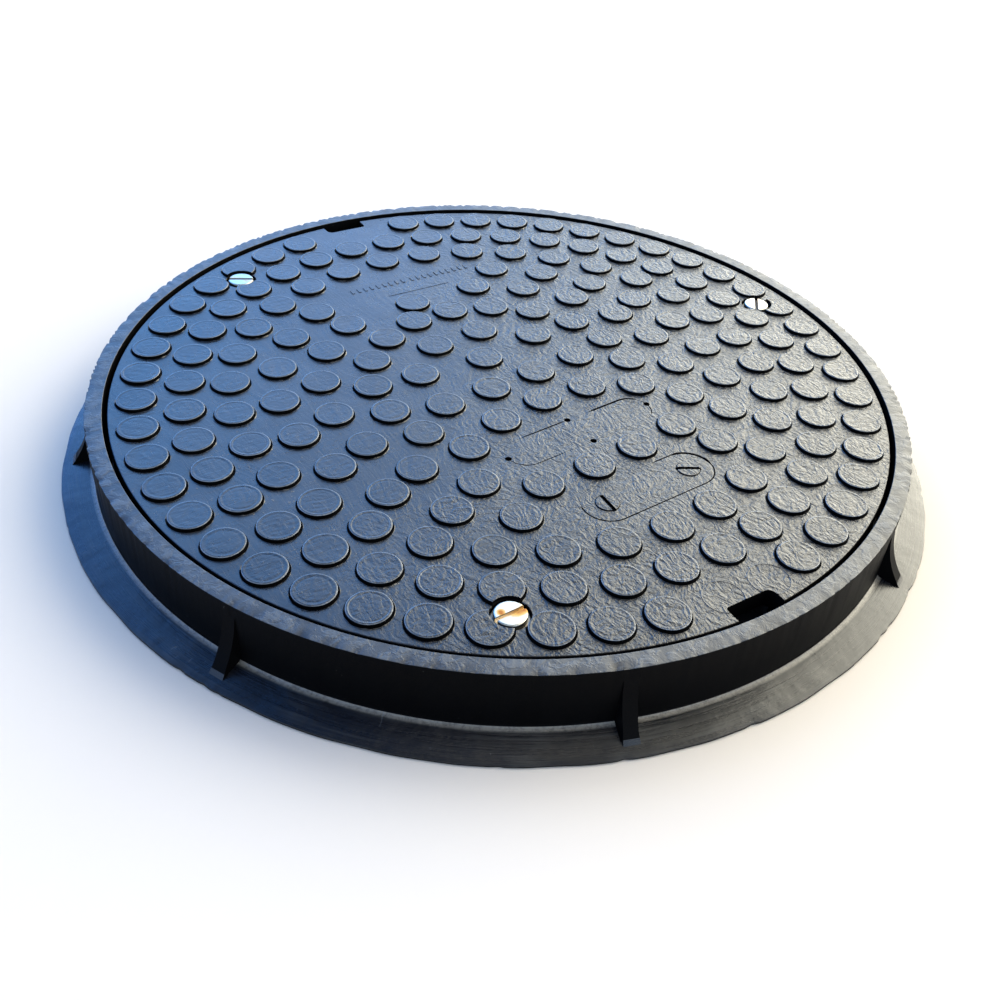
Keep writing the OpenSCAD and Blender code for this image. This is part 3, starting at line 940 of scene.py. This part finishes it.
def lid_mesh():
    """Plate, skirt, ribs, bosses and pocket walls, with the tread and the marks on top."""
    edge = 1.5
    section = [(0, PLATE_Z), (SKIRT_IN, PLATE_Z), (SKIRT_IN, SKIRT_Z + 1), (SKIRT_IN + 1, SKIRT_Z)]
    section += [(LID - 1, SKIRT_Z), (LID, SKIRT_Z + 1)]
    section += arc(LID - edge, FIELD - edge, edge, 0, 90, 6) + [(0, FIELD)]
    mesh = revolve("lid_body", section, 480)

    mesh = with_ribs(mesh)

    first_cuts = []
    adds = []
    cuts = []
    for turn in (0, 180):
        wall = rectangle(-POCKET_W / 2 - 8, SKIRT_IN - UNDERCUT - 8, POCKET_W / 2 + 8, SKIRT_IN + 1)
        adds.append(placed(prism("wall", wall, POCKET_FLOOR - 4, PLATE_Z + 1), turn))
        cuts += [placed(cut, turn) for cut in pocket_cutters()]
    boss = [(0, BOSS_Z), (BOSS_R - 1, BOSS_Z), (BOSS_R, BOSS_Z + 1), (BOSS_R, PLATE_Z + 1), (0, PLATE_Z + 1)]
    bore = [(0, LUG_H), (SHANK_HOLE, LUG_H), (SHANK_HOLE, WASHER_Z), (COUNTERBORE, WASHER_Z)]
    bore += [(COUNTERBORE, FIELD - 0.5), (COUNTERBORE + 0.5, FIELD + 0.05)]
    bore += [(COUNTERBORE + 0.5, STUD_TOP + 1), (0, STUD_TOP + 1)]
    for _, at in lock_places():
        adds.append(placed(revolve("boss", boss, 64), 0, at))
        cuts.append(placed(revolve("bore", bore, 72), 0, at))

    rng = random.Random(11)
    places = stud_places()
    adds.append(joined("studs", [placed(stud_mesh(rng), 0, (x, y, FIELD)) for x, y in places]))
    moat_r = STUD_R + STUD_MOAT
    moat = [(0, -0.9), (moat_r, -0.9), (moat_r, 1.0), (0, 1.0)]
    moats = [placed(revolve("moat", moat, 64), 0, (x, y, FIELD)) for x, y in places]
    first_cuts.append(joined("stud_moats", moats))
    r = STUD_R - 0.5
    ghost = [(r - 0.9, -0.5), (r + 0.9, -0.5), (r + 0.9, -0.02), (r, 0.45), (r - 0.9, -0.02)]
    for place in GHOSTS:
        adds.append(placed(revolve("ghost", ghost, 64, closed=True), rng.uniform(0, 360), (*place, FIELD)))
    adds.append(plain_marks())
    cuts += insert_cuts()

    r = IMPRINT_R
    h = IMPRINT_H
    disc = [(0, -0.9), (r - 0.6, -0.9), (r - 0.1, h - 0.3), (r - 0.5, h), (0, h + 0.05)]
    moat = [(r - 1.0, 0.5), (r - 0.8, -0.8), (r + 0.1, -0.8), (r + 0.7, 0.5)]
    slot = rectangle(-r - 1, -IMPRINT_SLOT_W / 2, r + 1, IMPRINT_SLOT_W / 2)
    for x, turn in IMPRINTS:
        first_cuts.append(on_field(revolve("moat", moat, 48, closed=True), SCREWED, x))
        adds.append(on_field(revolve("disc", disc, 48), SCREWED, x))
        cuts.append(on_field(prism("slot", slot, h - 2.0, h + 1), SCREWED, x, 0.0, turn))

    for cut in first_cuts:
        mesh = boolean(mesh, cut, "DIFFERENCE")
    for add in adds:
        mesh = boolean(mesh, add, "UNION")
    for cut in cuts:
        mesh = boolean(mesh, cut, "DIFFERENCE")
    return mesh


def seal_mesh():
    """Flat rubber ring with a bead along each edge of its upper face."""
    inner = 298.0
    outer = 309.0
    low = SEAT_Z
    high = SKIRT_Z
    section = [(inner + 0.6, low), (outer - 0.6, low), (outer, low + 0.6), (outer, high - 0.8)]
    section += arc(outer - 1.4, high - 1.0, 1.0, 20, 160, 6)
    section += arc(inner + 1.4, high - 1.0, 1.0, 20, 160, 6)
    section += [(inner, high - 0.8), (inner, low + 0.6)]
    return revolve("seal", section, 360, closed=True)


def screw_mesh(slot_turn):
    """Slotted lock screw about its own axis: rounded head, threaded shank, tapered tip."""
    segments = 48
    rows_a_turn = 8
    taper_h = 1.5
    runout_h = 2.0
    rows = int((HEAD_Z - TIP_Z) / THREAD_PITCH * rows_a_turn)
    points = []
    faces = []
    for j in range(rows + 1):
        z = TIP_Z + (HEAD_Z + 0.5 - TIP_Z) * j / rows
        taper = min(1.0, (z - TIP_Z) / taper_h)
        runout = min(1.0, (HEAD_Z - z) / runout_h + 0.2) if z < HEAD_Z else 0.0
        for i in range(segments):
            wave = (z / THREAD_PITCH - i / segments) % 1.0
            crest = max(0.0, min(1.0, 1.25 - abs(wave - 0.5) * 3.2))
            r = THREAD_R - THREAD_DEPTH * (1 - crest) * runout
            r = min(r, TIP_R + (THREAD_R - TIP_R) * taper)
            points.append((*polar(r, 360.0 * i / segments), z))
    for j in range(rows):
        for i in range(segments):
            a = j * segments + i
            b = j * segments + (i + 1) % segments
            faces.append([a, b, b + segments, a + segments])
    faces.append(list(reversed(range(segments))))
    faces.append([rows * segments + i for i in range(segments)])
    shank = make_mesh("shank", points, faces)
    edge = 1.2
    head = [(0, HEAD_Z), (HEAD_R - 0.5, HEAD_Z), (HEAD_R, HEAD_Z + 0.5), (HEAD_R, HEAD_TOP - edge - 0.1)]
    head += arc(HEAD_R - edge, HEAD_TOP - edge, edge, 0, 90, 5) + [(0, HEAD_TOP)]
    mesh = boolean(revolve("head", head, 64), shank, "UNION")
    outline = rectangle(-HEAD_R - 3, -SLOT_W / 2, HEAD_R + 3, SLOT_W / 2)
    slot = prism("slot", outline, HEAD_TOP - SLOT_DEPTH, HEAD_TOP + 1)
    return boolean(mesh, placed(slot, slot_turn), "DIFFERENCE")


def washer_mesh():
    """Flat washer about its own axis, with rounded edges."""
    inner = 6.5
    outer = 12.8
    edge = 0.4
    low = WASHER_Z + edge
    high = HEAD_Z - edge
    section = arc(outer - edge, low, edge, 270, 360, 3) + arc(outer - edge, high, edge, 0, 90, 3)
    section += arc(inner + edge, high, edge, 90, 180, 3) + arc(inner + edge, low, edge, 180, 270, 3)
    return revolve("washer", section, 72, closed=True)


def nut_mesh(turn):
    """Hex nut about its own axis, with chamfered corners and a countersunk bore."""
    hexagon = revolve("hexagon", [(0, NUT_Z), (NUT_R, NUT_Z), (NUT_R, NUT_TOP), (0, NUT_TOP)], 6)
    flat = NUT_AF / 2
    cone = [(0, NUT_Z), (flat - 0.2, NUT_Z), (NUT_R + 0.4, NUT_Z + 1.1), (NUT_R + 0.4, NUT_TOP - 1.1),
            (flat - 0.2, NUT_TOP), (0, NUT_TOP)]
    inner = THREAD_R + 0.05
    bore = [(0, NUT_Z - 1), (7.4, NUT_Z - 1), (inner, NUT_Z + 0.6), (inner, NUT_TOP - 0.6)]
    bore += [(7.4, NUT_TOP + 1), (0, NUT_TOP + 1)]
    mesh = boolean(placed(hexagon, turn), revolve("cone", cone, 72), "INTERSECT")
    return boolean(mesh, revolve("bore", bore, 48), "DIFFERENCE")


def paint_frame(mesh):
    """Sorts the frame's faces into ring top, wall, flange and underside, by place and direction. The wall and
    other upright faces get the near-black side finish, which is painted shade.
    """
    for face in mesh.polygons:
        r = math.hypot(face.center.x, face.center.y) / MM
        z = face.center.z / MM
        turn = math.degrees(math.atan2(face.center.y, face.center.x)) - GUSSET_TURN
        off = r * math.radians(abs((turn + 180 / GUSSETS) % (360 / GUSSETS) - 180 / GUSSETS))
        on_gusset = off < GUSSET_T / 2 + 1.2 and z > FLANGE_EDGE_H + 3.0
        if z > RING_TOP - 2.0 and face.normal.z > 0.6:
            face.material_index = TOP
        elif r > RING_OUT + 0.6 and face.normal.z > 0.3 and not on_gusset:
            face.material_index = FLANGE_TOP
        elif r < RING_IN - 1.0 or face.normal.z < -0.5:
            face.material_index = UNDER
        else:
            face.material_index = SIDE


def paint_lid(mesh):
    """Sorts the lid's faces into its top, the sides and channels, which get the near-black finish of painted
    shade, and its underside.
    """
    for face in mesh.polygons:
        r = math.hypot(face.center.x, face.center.y) / MM
        z = face.center.z / MM
        below_plate = z < PLATE_Z and r < SKIRT_IN + 1.0
        if below_plate or face.normal.z < -0.5:
            face.material_index = UNDER
        elif face.normal.z > 0.25 and z > FIELD - 0.2:
            face.material_index = TOP
        else:
            face.material_index = SIDE


def build_pieces():
    """Every piece that replaces a CAD node. Finishes stand in the order of TOP, SIDE, UNDER, FLANGE_TOP."""
    # The frame's wall and the lid's sides get the near-black finish, which is painted shade
    frame_finishes = [ring_polymer(), shaded_side_or_underside("wall_shaded_polymer", *SHADED_SIDE),
                      shaded_side_or_underside("frame_under_polymer", *UNDERSIDE), flange_polymer()]
    frame_piece = add_piece("frame_piece", frame_mesh(), "base", "frame", frame_finishes)
    paint_frame(frame_piece.data)
    lid_finishes = [lid_polymer(), shaded_side_or_underside("lid_side_shaded_polymer", *SHADED_SIDE),
                    shaded_side_or_underside("lid_under_polymer", *UNDERSIDE)]
    lid_piece = add_piece("lid_piece", lid_mesh(), "cover", "lid", lid_finishes)
    paint_lid(lid_piece.data)
    add_piece("seal_piece", seal_mesh(), "base", "seal_ring", [seal_rubber()])
    plain_zinc = zinc_plate("zinc_plain")
    for i, (turn, at) in enumerate(lock_places()):
        n = i + 1
        head_zinc = zinc_head(f"zinc_screw_{n}", SLOT_TURNS[i], RUST_LEVELS[i])
        add_piece(f"screw_piece_{n}", screw_mesh(SLOT_TURNS[i]), f"lock_{n}_screw",
                  f"lock_screw_{n}", [head_zinc], at)
        add_piece(f"washer_piece_{n}", washer_mesh(), f"lock_{n}_washer",
                  f"lock_washer_{n}", [plain_zinc], at)
        add_piece(f"nut_piece_{n}", nut_mesh(turn), "base", f"lock_nut_{n}", [plain_zinc], at)


# ---------------------------------------------------------------- stage

# Soft dome round the object. Each stop: degrees to the right of straight ahead, and the light's colour there
DOME_STOPS = (
    (-150, (0.10, 0.13, 0.17)),
    (-90, (0.06, 0.12, 0.27)),
    (-50, (0.044, 0.138, 0.395)),
    (-22, (0.105, 0.265, 0.58)),
    (-6, (0.165, 0.275, 0.50)),
    (6, (0.26, 0.35, 0.47)),
    (16, (0.66, 0.68, 0.65)),
    (28, (1.00, 0.96, 0.81)),
    (70, (1.00, 0.95, 0.78)),
    (110, (0.30, 0.31, 0.32)),
    (150, (0.10, 0.13, 0.17)),
)
DOME_R = 9.0
DOME_LEVEL = 8.7
DOME_CROWN = 0.10
DOME_FADE = (0.70, 0.92)

FLOOR_HALF = 6.0
FLOOR_GAP = 0.0002

# Camera, in its own plan directions and metres, fitted to the circles of ring, lid and flange
CAMERA_AT = (-0.0310, -0.7292, 0.5167)
CAMERA_AIM = (-0.0033, -0.1663, 0.0550)
CAMERA_ROLL = 4.43
SENSOR = 36.0
LENS = 37.62


def turned(x, y, z):
    """Point given in the camera's own plan directions (X right, Y away), in metres."""
    return Matrix.Rotation(math.radians(VIEW_TURN), 4, "Z") @ Vector((x, y, z))


def add_softbox(name, at, aim, size, radiance, colour):
    """Large area light that the camera doesn't see, turned to face a point; radiance is in watts/m2/sr."""
    light = bpy.data.lights.new(name, "AREA")
    light.shape = "RECTANGLE"
    light.size, light.size_y = size
    light.energy = radiance * math.pi * size[0] * size[1]
    light.color = colour
    box = bpy.data.objects.new(name, light)
    box.location = turned(*at)
    box.rotation_euler = (turned(*aim) - box.location).to_track_quat("-Z", "Y").to_euler()
    box.visible_camera = False
    bpy.context.scene.collection.objects.link(box)


def build_dome():
    """Dome of soft light, darker overhead, that the camera looks through."""
    material = bpy.data.materials.new("dome_light")
    material.use_nodes = True
    material.node_tree.nodes.clear()
    n = Nodes(material.node_tree, "Object")
    x, y, z = n.split(n.stretch((1.0, 1.0, 1.0), -VIEW_TURN))
    azimuth = n.math("MULTIPLY_ADD", n.math("ARCTAN2", x, y), 0.5 / math.pi, 0.5)
    ramp = n.tree.nodes.new("ShaderNodeValToRGB")
    ramp.color_ramp.interpolation = "EASE"
    stops = ramp.color_ramp.elements
    while len(stops) < len(DOME_STOPS):
        stops.new(0.5)
    for stop, (turn, colour) in zip(stops, DOME_STOPS):
        stop.position = 0.5 + turn / 360.0
        stop.color = (*colour, 1.0)
    n.tree.links.new(azimuth, ramp.inputs["Fac"])
    low, high = [DOME_R * part for part in DOME_FADE]
    level = n.smooth(z, low, high, DOME_LEVEL, DOME_LEVEL * DOME_CROWN)
    shine = n.tree.nodes.new("ShaderNodeEmission")
    n.tree.links.new(ramp.outputs["Color"], shine.inputs["Color"])
    n.tree.links.new(level, shine.inputs["Strength"])
    output = n.tree.nodes.new("ShaderNodeOutputMaterial")
    n.tree.links.new(shine.outputs[0], output.inputs["Surface"])

    section = arc(0, 0, DOME_R / MM, -5, 90, 24)
    mesh = revolve("dome", section, 96)
    mesh.materials.append(material)
    dome = bpy.data.objects.new("dome", mesh)
    dome.visible_camera = False
    bpy.context.scene.collection.objects.link(dome)


def build_stage():
    """Plain pale floor, white world, and the lights."""
    s = Shader("floor")
    tone = s.noise(3.0, 3.0, 0.5)
    s.drive(Base_Color=s.mix(tone, *FLOOR))
    s.set(Roughness=0.9, Specular_IOR_Level=0.1)
    mesh = bpy.data.meshes.new("floor")
    corners = rectangle(-FLOOR_HALF, -FLOOR_HALF, FLOOR_HALF, FLOOR_HALF)
    mesh.from_pydata([(x, y, 0) for x, y in corners], [], [(0, 1, 2, 3)])
    mesh.materials.append(s.material)
    floor = bpy.data.objects.new("floor", mesh)
    floor.location.z = -FLOOR_GAP
    bpy.context.scene.collection.objects.link(floor)

    world = bpy.data.worlds.new("plain_white")
    world.use_nodes = True
    world.node_tree.nodes["Background"].inputs["Color"].default_value = (1.0, 1.0, 1.0, 1.0)
    bpy.context.scene.world = world
    build_dome()
    add_softbox("top_box", (0.2, -0.2, 3.2), (0, 0, 0), (1.2, 1.2), 1.0, (1.0, 0.97, 0.92))


def build_camera():
    """Camera where the photographer stood, looking down on the front of the cover, a little tilted."""
    camera = bpy.data.objects.new("camera", bpy.data.cameras.new("camera"))
    camera.data.sensor_width = SENSOR
    camera.data.lens = LENS
    camera.data.clip_start = 0.01
    camera.location = turned(*CAMERA_AT)
    facing = (turned(*CAMERA_AIM) - camera.location).to_track_quat("-Z", "Y").to_matrix().to_4x4()
    roll = Matrix.Rotation(math.radians(CAMERA_ROLL), 4, "Z")
    camera.rotation_euler = (facing @ roll).to_euler()
    bpy.context.scene.collection.objects.link(camera)
    bpy.context.scene.camera = camera
    bpy.context.scene.view_settings.view_transform = "Standard"


build_camera()
build_pieces()
build_stage()
